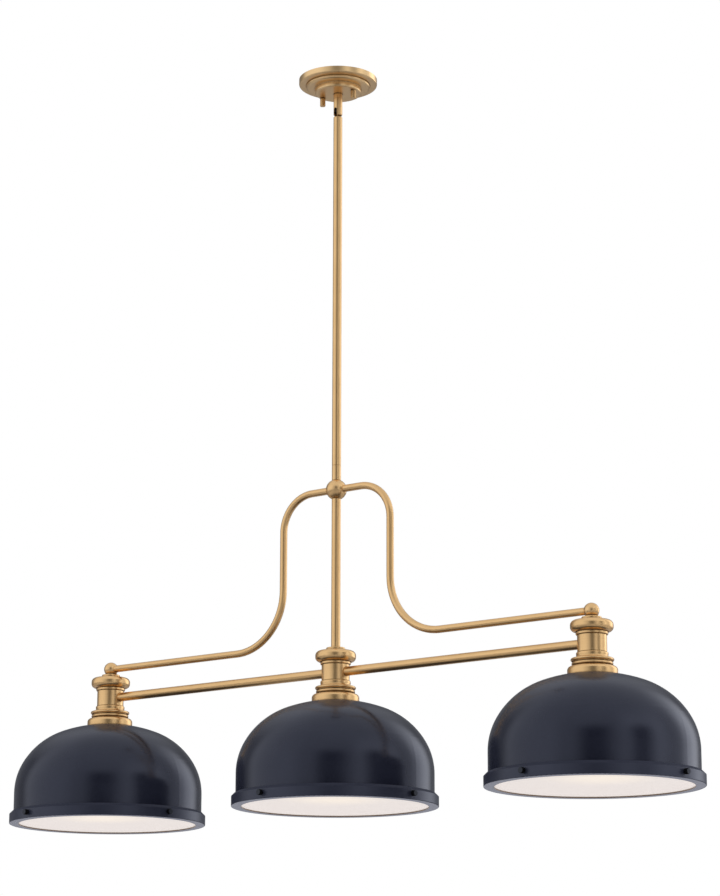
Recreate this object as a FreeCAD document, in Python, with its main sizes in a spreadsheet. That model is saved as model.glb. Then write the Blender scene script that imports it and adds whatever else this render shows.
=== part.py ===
import FreeCAD, Part
import math
import os

import Sketcher

# Linear island pendant: three domed shades under a straight bar, hung from a ceiling canopy on one
# rod. Lengths in millimetres. The origin is the middle of the ceiling plane, +Z is up and the bar
# lies along X. Heights inside the fixture are taken down from the ceiling plane.

doc = FreeCAD.newDocument("IslandPendant")
sheet = doc.addObject("Spreadsheet::Sheet", "Sizes")

SIZES = {
    # Ceiling side: crossbar, studs and canopy
    "crossbar_length": 110.0,
    "crossbar_width": 22.0,
    "crossbar_thickness": 2.5,
    "box_screw_offset": 44.45,
    "box_slot_width": 4.8,
    "box_slot_length": 8.0,
    "stud_offset": 34.925,
    "stud_radius": 2.1,
    "stud_grip": 10.0,
    "stud_nut_radius": 4.3,
    "stud_nut_height": 3.2,
    "canopy_radius": 71.0,
    "canopy_depth": 27.3,
    "canopy_wall": 1.5,
    "canopy_lip": 8.7,
    "canopy_rim_round": 2.8,
    "canopy_step_radius": 58.0,
    "canopy_step_height": 1.6,
    "canopy_step_round": 4.4,
    "canopy_drum_radius": 42.0,
    "canopy_drum_round": 2.6,
    "canopy_cove": 0.8,
    "canopy_nut_radius": 4.9,
    "canopy_nut_length": 15.5,
    "canopy_nut_crown": 0.5,
    # Threaded tube of the whole fixture
    "thread_radius": 5.0,
    "thread_bore": 3.4,
    "lock_nut_radius": 8.6,
    "lock_nut_height": 3.5,
    # Swivel below the canopy
    "swivel_radius": 8.0,
    "collar_height": 9.3,
    "collar_plug": 9.5,
    "chamber_radius": 6.4,
    "ball_height": 23.7,
    "socket_reach": 9.3,
    "socket_seat_radius": 5.0,
    "socket_mouth_radius": 4.2,
    "socket_round": 3.2,
    "slot_width": 6.2,
    "slot_height": 14.3,
    "ball_radius": 6.1,
    "ball_flat": 4.6,
    "ball_crown": 3.6,
    "stem_radius": 2.8,
    "stem_bore": 1.8,
    "stem_head_radius": 3.6,
    "stem_head_height": 1.0,
    "stem_grip": 10.0,
    # Rods
    "rod_radius": 8.0,
    "rod_bore": 6.5,
    "rod_cone_radius": 6.4,
    "rod_cone_height": 1.8,
    "rod_plug": 4.0,
    "edge_chamfer": 0.4,
    "hub_drop": 767.0,
    "short_rod_length": 27.0,
    "spigot_grip": 12.0,
    "hub_radius": 18.4,
    "hub_grip": 8.0,
    "hub_bore": 3.0,
    # Bent arms
    "arm_radius": 6.35,
    "arm_bore": 4.9,
    "arm_grip": 7.0,
    "arm_reach": 116.7,
    "arm_upper_bend": 63.0,
    "arm_lower_bend": 103.0,
    # Straight bar
    "shade_spacing": 520.0,
    "bar_drop": 1091.0,
    "bar_radius": 8.0,
    "bar_bore": 6.5,
    "bar_grip": 4.0,
    # Columns over the shades, heights from the middle of the bar
    "column_radius": 24.2,
    "column_bore": 21.6,
    "column_rise": 18.3,
    "column_neck": 20.0,
    "collar_ring_radius": 26.4,
    "collar_ring_height": 5.0,
    "foot_ring_radius": 26.2,
    "foot_ring_height": 4.4,
    "groove_depth": 0.7,
    "groove_width": 0.8,
    "ring_round": 1.2,
    "spigot_height": 5.0,
    "spigot_wall": 2.2,
    "cap_radius": 35.3,
    "cap_edge": 8.0,
    "cap_band": 3.0,
    "cap_crown": 1.8,
    "boss_radius": 16.5,
    "boss_height": 4.0,
    "boss_round": 1.4,
    "cap_hollow": 12.0,
    # Shade fitter, from its top down
    "fitter_height": 32.4,
    "fitter_top_radius": 25.9,
    "fitter_cove": 5.0,
    "bead_radius": 35.3,
    "bead_height": 5.2,
    "second_bead_radius": 33.8,
    "second_bead_height": 6.4,
    "bead_groove_radius": 33.0,
    "flange_radius": 41.0,
    "flange_round": 6.6,
    "fitter_floor": 3.0,
    "fitter_bore": 19.0,
    # End balls over the outer columns
    "end_ball_radius": 12.9,
    "end_neck_radius": 9.5,
    "end_ball_lift": 10.3,
    "end_grip": 7.0,
    # Shades: a vertical skirt under three tangent arcs
    "shade_radius": 170.5,
    "shade_wall": 1.2,
    "shade_skirt": 56.9,
    "shoulder_arc": 107.0,
    "haunch_arc": 130.0,
    "shoulder_angle": 30.0,
    "haunch_angle": 70.0,
    "skirt_lift": 6.5,
    # Lens rings, lenses and thumbscrews
    "ring_overhang": 7.3,
    "ring_wall": 1.6,
    "ring_height": 22.0,
    "ring_shoulder": 5.0,
    "ring_lip": 17.2,
    "ring_lip_height": 2.0,
    "ring_edge_round": 1.2,
    "ring_gap": 0.6,
    "lens_gap": 1.0,
    "lens_thickness": 3.0,
    "screw_height": 10.6,
    "screw_turn_left": -11.0,
    "screw_turn_center": -6.5,
    "screw_turn_right": -6.5,
    "screw_radius": 2.0,
    "screw_fit": 0.06,
    "screw_tip_gap": 0.3,
    "screw_neck": 1.0,
    "screw_head_radius": 4.9,
    "screw_head_length": 7.0,
    "screw_head_round": 0.8,
    "screw_flute": 0.45,
    # Lampholders and bulbs
    "holder_radius": 19.5,
    "holder_skirt_radius": 17.5,
    "holder_height": 48.0,
    "holder_shoulder": 30.0,
    "holder_taper": 3.0,
    "holder_plate": 3.0,
    "holder_space": 12.0,
    "holder_floor": 3.0,
    "holder_bore": 13.5,
    "contact_radius": 3.0,
    "contact_height": 1.5,
    "nipple_head_radius": 8.0,
    "nipple_head_height": 3.0,
    "nipple_reach": 5.0,
    "base_radius": 13.1,
    "base_length": 27.0,
    "base_tip_radius": 4.8,
    "base_tip_height": 2.5,
    "bulb_gap": 0.4,
    "bulb_radius": 30.0,
    "bulb_neck_length": 48.0,
    "bulb_neck_radius": 14.0,
    # Wiring inside the tubes
    "lead_radius": 1.5,
    "lead_bend": 14.0,
    "splice_radius": 7.0,
    "splice_height": 16.0,
    # Clearances
    "pivot_fit": 0.06,
    "face_gap": 0.3,
    "neck_gap": 1.5,
    "hole_gap": 0.3,
}

SCREWS_PER_SHADE = 4
HEAD_FLUTES = 18
PLACES = {"left": -1, "center": 0, "right": 1}


class Size:
    """A length or an angle, held as a number and as the text that binds it to the sheet."""

    def __init__(self, value, text):
        self.value = value
        self.text = text

    def __add__(self, other):
        other = as_size(other)
        return Size(self.value + other.value, f"({self.text} + {other.text})")

    def __sub__(self, other):
        other = as_size(other)
        return Size(self.value - other.value, f"({self.text} - {other.text})")

    def __mul__(self, other):
        other = as_size(other)
        return Size(self.value * other.value, f"({self.text} * {other.text})")

    def __truediv__(self, other):
        other = as_size(other)
        return Size(self.value / other.value, f"({self.text} / {other.text})")

    def __radd__(self, other):
        return as_size(other) + self

    def __rsub__(self, other):
        return as_size(other) - self

    def __rmul__(self, other):
        return as_size(other) * self

    def __neg__(self):
        return Size(-self.value, f"(0 - {self.text})")


def as_size(item):
    """Take a plain number as a size."""
    if isinstance(item, Size):
        return item
    return Size(float(item), f"({float(item)})")


def root(size):
    """Square root of a size."""
    return Size(math.sqrt(size.value), f"sqrt({size.text})")


def cosine(angle):
    """Cosine of an angle in degrees."""
    return Size(math.cos(math.radians(angle.value)), f"cos({angle.text})")


def sine(angle):
    """Sine of an angle in degrees."""
    return Size(math.sin(math.radians(angle.value)), f"sin({angle.text})")


def across(radius, offset):
    """Half the chord that a circle of this radius has at this offset from its centre."""
    return root(radius * radius - offset * offset)


class Sheet:
    """The sheet's sizes, read by name."""

    def __getattr__(self, name):
        return Size(SIZES[name], "Sizes." + name)


for row, (alias, number) in enumerate(SIZES.items(), start=1):
    sheet.set(f"A{row}", alias)
    sheet.set(f"B{row}", str(number))
    sheet.setAlias(f"B{row}", alias)
doc.recompute()

s = Sheet()
nodes = {}


# Sketches


class Bend:
    """An arc from the corner before it to the corner after it, about a centre."""

    def __init__(self, x, y, turn):
        self.x = as_size(x)
        self.y = as_size(y)
        self.turn = turn


def own_datum(body, role):
    """Give one of a body's own origin planes or axes."""
    for feature in body.Origin.OriginFeatures:
        if feature.Role == role:
            return feature
    raise ValueError(role)


def new_sketch(body, name, role):
    """Start a sketch on one of a body's own planes."""
    sketch = body.newObject("Sketcher::SketchObject", name)
    sketch.AttachmentSupport = [(own_datum(body, role), "")]
    sketch.MapMode = "FlatFace"
    return sketch


def hold(sketch, kind, index, end, size):
    """Hold one coordinate of a point at a size, or on the sketch's own axis where it is nought."""
    axis = -2 if kind == "DistanceX" else -1
    if size.value == 0.0:
        sketch.addConstraint(Sketcher.Constraint("PointOnObject", index, end, axis))
        return
    number = sketch.addConstraint(Sketcher.Constraint(kind, -1, 1, index, end, size.value))
    sketch.setExpression(f"Constraints[{number}]", size.text)


def pin(sketch, index, end, x, y):
    """Hold a point of a sketch at two sizes."""
    hold(sketch, "DistanceX", index, end, x)
    hold(sketch, "DistanceY", index, end, y)


def line(sketch, start, finish):
    """Draw a line and give its index with the numbers of its start and end points."""
    geometry = Part.LineSegment(
        FreeCAD.Vector(start[0].value, start[1].value, 0),
        FreeCAD.Vector(finish[0].value, finish[1].value, 0),
    )
    return sketch.addGeometry(geometry), 1, 2


def arc(sketch, start, finish, bend):
    """Draw an arc about its centre and give its index with the numbers of its two ends."""
    centre = FreeCAD.Vector(bend.x.value, bend.y.value, 0)
    first = math.atan2(start[1].value - centre.y, start[0].value - centre.x)
    last = math.atan2(finish[1].value - centre.y, finish[0].value - centre.x)
    radius = math.hypot(start[0].value - centre.x, start[1].value - centre.y)
    circle = Part.Circle(centre, FreeCAD.Vector(0, 0, 1), radius)
    if bend.turn == "left":
        index, ends = sketch.addGeometry(Part.ArcOfCircle(circle, first, last)), (1, 2)
    else:
        index, ends = sketch.addGeometry(Part.ArcOfCircle(circle, last, first)), (2, 1)
    rise = abs(finish[1].value - start[1].value)
    run = abs(finish[0].value - start[0].value)
    if rise > run:
        hold(sketch, "DistanceX", index, 3, bend.x)
    else:
        hold(sketch, "DistanceY", index, 3, bend.y)
    return index, ends[0], ends[1]


def draw(sketch, outline, closed=True):
    """Draw lines and arcs through an outline's corners and pin each corner once."""
    corners = []
    bends = {}
    for item in outline:
        if isinstance(item, Bend):
            bends[len(corners) - 1] = item
        else:
            corners.append((as_size(item[0]), as_size(item[1])))
    count = len(corners)
    drawn = []
    for place in range(count if closed else count - 1):
        start, finish = corners[place], corners[(place + 1) % count]
        if place in bends:
            drawn.append(arc(sketch, start, finish, bends[place]))
        else:
            drawn.append(line(sketch, start, finish))
    for place, (index, begin, end) in enumerate(drawn):
        pin(sketch, index, begin, *corners[place])
        if closed or place + 1 < len(drawn):
            following = drawn[(place + 1) % len(drawn)]
            joint = Sketcher.Constraint("Coincident", index, end, following[0], following[1])
            sketch.addConstraint(joint)
        else:
            pin(sketch, index, end, *corners[-1])


def circle(sketch, x, y, radius):
    """Draw a circle about a pinned centre."""
    centre = FreeCAD.Vector(as_size(x).value, as_size(y).value, 0)
    index = sketch.addGeometry(Part.Circle(centre, FreeCAD.Vector(0, 0, 1), radius.value))
    pin(sketch, index, 3, as_size(x), as_size(y))
    number = sketch.addConstraint(Sketcher.Constraint("Radius", index, radius.value))
    sketch.setExpression(f"Constraints[{number}]", radius.text)


# Solids


def bind(item, prop, size):
    """Bind a property of an object to a size."""
    item.setExpression(prop, as_size(size).text)


def move(item, x=0.0, y=0.0, z=0.0, turn=None, axis=(0, 0, 1)):
    """Give an object its place, and its turn about an axis where it has one."""
    turn = as_size(0.0) if turn is None else as_size(turn)
    spin = FreeCAD.Rotation(FreeCAD.Vector(*axis), turn.value)
    place = FreeCAD.Vector(as_size(x).value, as_size(y).value, as_size(z).value)
    item.Placement = FreeCAD.Placement(place, spin)
    for letter, size in (("x", x), ("y", y), ("z", z)):
        if as_size(size).value != 0.0:
            bind(item, "Placement.Base." + letter, size)
    if turn.value not in (0.0, 90.0, 180.0, -90.0):
        bind(item, "Placement.Rotation.Angle", turn)
    return item


def new_body(name):
    """Start a body under its own name."""
    body = doc.addObject("PartDesign::Body", name)
    body.Label = name
    return body


def turned(name, outline):
    """Turn a closed outline of radius and height about the upright axis."""
    body = new_body(name)
    section = new_sketch(body, name + "_section", "XZ_Plane")
    draw(section, outline)
    solid = body.newObject("PartDesign::Revolution", name + "_turned")
    solid.Profile = section
    solid.ReferenceAxis = (section, ["V_Axis"])
    solid.Angle = 360.0
    return body


def tube(name, outer, inner, height):
    """Turn a plain tube from nought up to a height."""
    return turned(name, [(inner, 0), (outer, 0), (outer, height), (inner, height)])


def cylinder(name, radius, height):
    """Make a plain cylinder along its own upright axis."""
    item = doc.addObject("Part::Cylinder", name)
    bind(item, "Radius", radius)
    bind(item, "Height", height)
    return item


def combine(kind, name, base, tool):
    """Join, cut or intersect two solids."""
    item = doc.addObject(kind, name)
    item.Base = base
    item.Tool = tool
    return item


def group(name, pieces):
    """Keep several separate solids under one name."""
    item = doc.addObject("Part::Compound", name)
    item.Links = pieces
    return item


def bored_hexagon(name, radius, height, bore):
    """Make a hexagonal nut with a plain bore, from nought up to its height."""
    prism = doc.addObject("Part::Prism", name + "_blank")
    prism.Polygon = 6
    bind(prism, "Circumradius", radius)
    bind(prism, "Height", height)
    return combine("Part::Cut", name, prism, cylinder(name + "_bore", bore, height))


def keep(name, item):
    """Name a finished sub-part, which gives its file its name."""
    item.Label = name
    nodes[name] = item
    return item


# Heights below the ceiling plane

swivel_ball_drop = s.canopy_depth + s.collar_height + s.ball_height
socket_top = s.ball_height
rod_top_drop = swivel_ball_drop + s.socket_reach + s.neck_gap
hub_flat = across(s.hub_radius, s.rod_radius)
hub_side = across(s.hub_radius, s.arm_radius)
end_side = across(s.end_ball_radius, s.arm_radius)
seam_drop = s.hub_drop - hub_flat - s.short_rod_length
long_rod_length = seam_drop - rod_top_drop
boss_top = s.column_rise + s.cap_edge * 2 + s.cap_band + s.cap_crown + s.boss_height
drop_rod_top = s.hub_drop + hub_flat
drop_rod_length = s.bar_drop - boss_top - drop_rod_top
end_ball_rise = boss_top + s.end_ball_lift
column_drop = s.column_neck + s.fitter_height

haunch_x = s.shade_radius - s.shoulder_arc + (s.shoulder_arc - s.haunch_arc) * cosine(s.shoulder_angle)
haunch_z = s.shade_skirt + (s.shoulder_arc - s.haunch_arc) * sine(s.shoulder_angle)
crown_arc = s.haunch_arc + haunch_x / cosine(s.haunch_angle)
crown_z = haunch_z + (s.haunch_arc - crown_arc) * sine(s.haunch_angle)
shade_top = crown_z + across(crown_arc, s.flange_radius)
rim_drop = s.bar_drop + column_drop + shade_top

ring_radius = s.shade_radius + s.ring_overhang
ring_bore = ring_radius - s.ring_wall
holder_top_drop = s.bar_drop + column_drop + s.shade_wall


# Ceiling side


def crossbar():
    """Flat bar on the outlet box, with its slots, two tapped stud holes and the nipple's hole."""
    body = new_body("mounting_crossbar")
    plan = new_sketch(body, "crossbar_plan", "XY_Plane")
    half_length = s.crossbar_length / 2
    half_width = s.crossbar_width / 2
    draw(
        plan,
        [
            (-half_length, -half_width),
            (half_length, -half_width),
            (half_length, half_width),
            (-half_length, half_width),
        ],
    )
    circle(plan, 0, 0, s.thread_radius)
    straight = (s.box_slot_length - s.box_slot_width) / 2
    half_slot = s.box_slot_width / 2
    for side in (-1, 1):
        circle(plan, s.stud_offset * side, 0, s.stud_radius)
        middle = s.box_screw_offset * side
        draw(
            plan,
            [
                (middle - straight, -half_slot),
                (middle + straight, -half_slot),
                Bend(middle + straight, 0, "left"),
                (middle + straight, half_slot),
                (middle - straight, half_slot),
                Bend(middle - straight, 0, "left"),
            ],
        )
    plate = body.newObject("PartDesign::Pad", "crossbar_plate")
    plate.Profile = plan
    plate.Reversed = True
    bind(plate, "Length", s.crossbar_thickness)
    keep("mounting_crossbar", body)


def canopy_outline():
    """Section of the three-tier canopy, from the ceiling plane down."""
    wall = s.canopy_wall
    rim_inner = s.canopy_radius - wall
    rim_flat = s.canopy_radius - s.canopy_rim_round
    rim_low = s.canopy_lip + s.canopy_rim_round
    step_low = rim_low + s.canopy_step_height
    shelf = step_low + s.canopy_step_round
    step_inner = s.canopy_step_radius - s.canopy_step_round
    cove_outer = s.canopy_drum_radius + s.canopy_cove
    cove_low = shelf + s.canopy_cove
    drum_low = s.canopy_depth - s.canopy_drum_round
    drum_flat = s.canopy_drum_radius - s.canopy_drum_round
    hole = s.thread_radius + s.hole_gap
    return [
        (rim_inner, 0),
        (s.canopy_radius, 0),
        (s.canopy_radius, -s.canopy_lip),
        Bend(rim_flat, -s.canopy_lip, "right"),
        (rim_flat, -rim_low),
        (s.canopy_step_radius, -rim_low),
        (s.canopy_step_radius, -step_low),
        Bend(step_inner, -step_low, "right"),
        (step_inner, -shelf),
        (cove_outer, -shelf),
        Bend(cove_outer, -cove_low, "left"),
        (s.canopy_drum_radius, -cove_low),
        (s.canopy_drum_radius, -drum_low),
        Bend(drum_flat, -drum_low, "right"),
        (drum_flat, -s.canopy_depth),
        (hole, -s.canopy_depth),
        (hole, wall - s.canopy_depth),
        (drum_flat, wall - s.canopy_depth),
        Bend(drum_flat, -drum_low, "left"),
        (s.canopy_drum_radius - wall, -drum_low),
        (s.canopy_drum_radius - wall, -cove_low),
        Bend(cove_outer, -cove_low, "right"),
        (cove_outer, wall - shelf),
        (step_inner, wall - shelf),
        Bend(step_inner, -step_low, "left"),
        (s.canopy_step_radius - wall, -step_low),
        (s.canopy_step_radius - wall, wall - rim_low),
        (rim_flat, wall - rim_low),
        Bend(rim_flat, -s.canopy_lip, "left"),
        (rim_inner, -s.canopy_lip),
    ]


def canopy():
    """Spun canopy with a hole for each stud beside the swivel's hole."""
    body = turned("canopy", canopy_outline())
    plan = new_sketch(body, "canopy_stud_plan", "XY_Plane")
    for side in (-1, 1):
        circle(plan, s.stud_offset * side, 0, s.stud_radius + s.hole_gap)
    holes = body.newObject("PartDesign::Pocket", "canopy_stud_holes")
    holes.Profile = plan
    bind(holes, "Length", s.canopy_depth)
    keep("canopy", body)


def canopy_nut(name):
    """Barrel nut with a blind hole, a crowned end and fine flutes, from its top face down."""
    radius, crown = s.canopy_nut_radius, s.canopy_nut_crown
    bore = s.stud_radius + s.screw_fit
    end = -s.canopy_nut_length
    blind = -(s.stud_grip + s.face_gap)
    body = turned(
        name,
        [
            (bore, 0),
            (radius - s.edge_chamfer, 0),
            (radius, -s.edge_chamfer),
            (radius, end + crown),
            Bend(radius - crown, end + crown, "right"),
            (radius - crown, end),
            (0, end),
            (0, blind),
            (bore, blind),
        ],
    )
    return flutes(body, name, radius, s.canopy_nut_length, True)


def flutes(body, name, radius, length, down):
    """Cut evenly spaced flutes along a knob's side."""
    plan = new_sketch(body, name + "_flute_plan", "XY_Plane")
    circle(plan, radius, 0, s.screw_flute)
    flute = body.newObject("PartDesign::Pocket", name + "_flute")
    flute.Profile = plan
    flute.Reversed = not down
    bind(flute, "Length", length)
    doc.recompute()
    ring = body.newObject("PartDesign::PolarPattern", name + "_flutes")
    ring.Originals = [flute]
    ring.Axis = (plan, ["N_Axis"])
    ring.Angle = 360.0
    ring.Occurrences = HEAD_FLUTES
    body.Tip = ring
    return body


def ceiling_fasteners():
    """Studs, their lock nuts, the barrel nuts and the hollow nipple with its lock nut."""
    studs, nuts = [], []
    stud_length = s.canopy_depth + s.stud_grip
    for side, word in ((-1, "left"), (1, "right")):
        offset = s.stud_offset * side
        stud = cylinder("stud_" + word, s.stud_radius, stud_length)
        studs.append(move(stud, x=offset, z=-stud_length))
        nut = bored_hexagon("stud_nut_" + word, s.stud_nut_radius, s.stud_nut_height, s.stud_radius)
        nuts.append(move(nut, x=offset, z=-(s.crossbar_thickness + s.stud_nut_height)))
        barrel = canopy_nut("canopy_nut_" + word)
        keep("canopy_nut_" + word, move(barrel, x=offset, z=-s.canopy_depth))
    keep("canopy_studs", group("canopy_studs", studs))
    keep("stud_lock_nuts", group("stud_lock_nuts", nuts))
    length = s.canopy_depth + s.collar_height + s.collar_plug
    nipple = tube("swivel_nipple", s.thread_radius, s.thread_bore, length)
    keep("swivel_nipple", move(nipple, z=-length))
    nut = bored_hexagon("nipple_lock_nut", s.lock_nut_radius, s.lock_nut_height, s.thread_radius)
    keep("nipple_lock_nut", move(nut, z=-(s.crossbar_thickness + s.lock_nut_height)))


# Swivel


def swivel():
    """Collar, slotted socket, ball and the stem that turns in the ball."""
    plug = -(s.collar_height + s.collar_plug)
    collar = turned(
        "swivel_collar",
        [
            (s.thread_radius, 0),
            (s.swivel_radius - s.edge_chamfer, 0),
            (s.swivel_radius, -s.edge_chamfer),
            (s.swivel_radius, s.edge_chamfer - s.collar_height),
            (s.swivel_radius - s.edge_chamfer, -s.collar_height),
            (s.chamber_radius, -s.collar_height),
            (s.chamber_radius, plug),
            (s.thread_radius, plug),
        ],
    )
    keep("swivel_collar", move(collar, z=-s.canopy_depth))

    seat = -across(s.chamber_radius, s.socket_seat_radius)
    foot = -s.socket_reach
    mouth_run = s.socket_mouth_radius - s.swivel_radius + s.socket_round
    mouth = foot + s.socket_round - across(s.socket_round, mouth_run)
    socket = turned(
        "swivel_socket",
        [
            (s.chamber_radius, 0),
            Bend(0, 0, "right"),
            (s.socket_seat_radius, seat),
            (s.socket_mouth_radius, mouth),
            Bend(s.swivel_radius - s.socket_round, foot + s.socket_round, "left"),
            (s.swivel_radius, foot + s.socket_round),
            (s.swivel_radius, socket_top - s.edge_chamfer),
            (s.swivel_radius - s.edge_chamfer, socket_top),
            (s.chamber_radius, socket_top),
        ],
    )
    side = new_sketch(socket, "socket_slot_side", "XZ_Plane")
    half = s.slot_width / 2
    crest = foot + s.slot_height - half
    draw(
        side,
        [
            (-half, foot - s.socket_round),
            (half, foot - s.socket_round),
            (half, crest),
            Bend(0, crest, "left"),
            (-half, crest),
        ],
    )
    slot = socket.newObject("PartDesign::Pocket", "socket_slot")
    slot.Profile = side
    slot.Reversed = True
    bind(slot, "Length", s.swivel_radius * 2)
    keep("swivel_socket", move(socket, z=-swivel_ball_drop))

    foot_radius = across(s.ball_radius, s.ball_flat)
    crown_radius = across(s.ball_radius, s.ball_crown)
    bore = s.stem_radius + s.pivot_fit
    ball = turned(
        "swivel_ball",
        [
            (bore, -s.ball_flat),
            (foot_radius, -s.ball_flat),
            Bend(0, 0, "left"),
            (crown_radius, s.ball_crown),
            (bore, s.ball_crown),
        ],
    )
    keep("swivel_ball", move(ball, z=-swivel_ball_drop))

    head = s.ball_crown + s.face_gap
    tail = -(s.socket_reach + s.neck_gap + s.stem_grip)
    stem = turned(
        "swivel_stem",
        [
            (s.stem_bore, tail),
            (s.stem_radius, tail),
            (s.stem_radius, head),
            (s.stem_head_radius, head),
            (s.stem_head_radius, head + s.stem_head_height),
            (s.stem_bore, head + s.stem_head_height),
        ],
    )
    keep("swivel_stem", move(stem, z=-swivel_ball_drop))


# Rods, hub and arms


def rods():
    """Long rod with its coned top, the coupling screwed into its foot, and the drop rod."""
    end = -long_rod_length
    chamfer = s.edge_chamfer
    plug = -(s.stem_grip + s.rod_plug)
    long_rod = turned(
        "long_rod",
        [
            (s.stem_radius, 0),
            (s.rod_cone_radius, 0),
            (s.rod_radius, -s.rod_cone_height),
            (s.rod_radius, end + chamfer),
            (s.rod_radius - chamfer, end),
            (s.thread_radius, end),
            (s.thread_radius, end + s.spigot_grip),
            (s.rod_bore, end + s.spigot_grip),
            (s.rod_bore, plug),
            (s.stem_radius, plug),
        ],
    )
    keep("long_rod", move(long_rod, z=-rod_top_drop))
    base = -s.short_rod_length
    short_rod = turned(
        "rod_coupling",
        [
            (s.thread_bore, s.spigot_grip),
            (s.thread_radius, s.spigot_grip),
            (s.thread_radius, 0),
            (s.rod_radius - chamfer, 0),
            (s.rod_radius, -chamfer),
            (s.rod_radius, base + chamfer),
            (s.rod_radius - chamfer, base),
            (s.thread_radius, base),
            (s.thread_radius, base + s.hub_grip),
            (s.thread_bore, base + s.hub_grip),
        ],
    )
    keep("rod_coupling", move(short_rod, z=-seam_drop))

    foot = -drop_rod_length
    drop_rod = turned(
        "drop_rod",
        [
            (s.thread_radius, 0),
            (s.rod_radius - chamfer, 0),
            (s.rod_radius, -chamfer),
            (s.rod_radius, foot + chamfer),
            (s.rod_radius - chamfer, foot),
            (s.thread_radius, foot),
            (s.thread_radius, foot - s.hub_grip),
            (s.thread_bore, foot - s.hub_grip),
            (s.thread_bore, foot + s.rod_plug),
            (s.rod_bore, foot + s.rod_plug),
            (s.rod_bore, -s.hub_grip),
            (s.thread_radius, -s.hub_grip),
        ],
    )
    keep("drop_rod", move(drop_rod, z=-drop_rod_top))


def lengthwise(body, name, kind, start, finish, radius, sides):
    """Add or cut a short round stretch about the X axis, on one side of a ball or on both."""
    section = new_sketch(body, name + "_section", "XZ_Plane")
    for side in sides:
        near, far = start * side, finish * side
        draw(section, [(near, 0), (far, 0), (far, radius), (near, radius)])
    stretch = body.newObject("PartDesign::" + kind, name)
    stretch.Profile = section
    stretch.ReferenceAxis = (section, ["H_Axis"])
    stretch.Angle = 360.0


def hub():
    """Ball that joins the two rods and the two arms, with a bore for the lead."""
    reach = hub_flat + s.hub_grip
    body = turned(
        "hub_ball",
        [
            (0, -reach),
            (s.thread_radius, -reach),
            (s.thread_radius, -hub_flat),
            (s.rod_radius, -hub_flat),
            Bend(0, 0, "left"),
            (s.rod_radius, hub_flat),
            (s.thread_radius, hub_flat),
            (s.thread_radius, reach),
            (0, reach),
        ],
    )
    both = (-1, 1)
    tip = hub_side + s.arm_grip
    lengthwise(body, "hub_flats", "Groove", hub_side, s.hub_radius * 2, s.hub_radius, both)
    lengthwise(body, "hub_spigots", "Revolution", hub_side / 2, tip, s.arm_bore, both)
    plan = new_sketch(body, "hub_bore_plan", "XY_Plane")
    circle(plan, 0, 0, s.hub_bore)
    bore = body.newObject("PartDesign::Pocket", "hub_wire_bore")
    bore.Profile = plan
    bore.Midplane = True
    bind(bore, "Length", reach * 4)
    keep("hub_ball", move(body, z=-s.hub_drop))


def arm(name, turn):
    """Bent tube from the hub's side down and out to an end ball."""
    body = new_body(name)
    path = new_sketch(body, name + "_path", "XZ_Plane")
    fall = s.bar_drop - end_ball_rise - s.hub_drop
    upright = s.arm_reach - hub_side
    length = s.shade_spacing - end_side - hub_side
    low = s.arm_lower_bend - fall
    draw(
        path,
        [
            (0, 0),
            (upright - s.arm_upper_bend, 0),
            Bend(upright - s.arm_upper_bend, -s.arm_upper_bend, "right"),
            (upright, -s.arm_upper_bend),
            (upright, low),
            Bend(upright + s.arm_lower_bend, low, "left"),
            (upright + s.arm_lower_bend, -fall),
            (length, -fall),
        ],
        closed=False,
    )
    section = new_sketch(body, name + "_section", "YZ_Plane")
    circle(section, 0, 0, s.arm_radius)
    circle(section, 0, 0, s.arm_bore)
    pipe = body.newObject("PartDesign::AdditivePipe", name + "_pipe")
    pipe.Profile = section
    pipe.Spine = (path, [f"Edge{number}" for number in range(1, 6)])
    pipe.Mode = "Frenet"
    start = hub_side if turn == 0 else -hub_side
    keep(name, move(body, x=start, z=-s.hub_drop, turn=turn))


def end_ball(name, side):
    """Ball on a short neck, with a spigot down into the cap and one into the arm."""
    radius = s.end_ball_radius
    reach = s.end_ball_lift + s.hub_grip
    body = turned(
        name,
        [
            (0, -reach),
            (s.thread_radius, -reach),
            (s.thread_radius, -s.end_ball_lift),
            (s.end_neck_radius, -s.end_ball_lift),
            (s.end_neck_radius, -across(radius, s.end_neck_radius)),
            Bend(0, 0, "left"),
            (0, radius),
        ],
    )
    inward = (-side,)
    tip = end_side + s.end_grip
    lengthwise(body, name + "_flat", "Groove", end_side, radius * 2, radius, inward)
    lengthwise(body, name + "_spigot", "Revolution", end_side / 2, tip, s.arm_bore, inward)
    keep(name, move(body, x=s.shade_spacing * side, z=end_ball_rise - s.bar_drop))


def bar(name, side):
    """Straight tube between two columns, its ends through their walls."""
    start = s.column_bore - s.bar_grip
    length = s.shade_spacing - start * 2
    body = tube(name, s.bar_radius, s.bar_bore, length)
    keep(name, move(body, x=start * side, z=-s.bar_drop, turn=90 * side, axis=(0, 1, 0)))


# Columns


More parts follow.
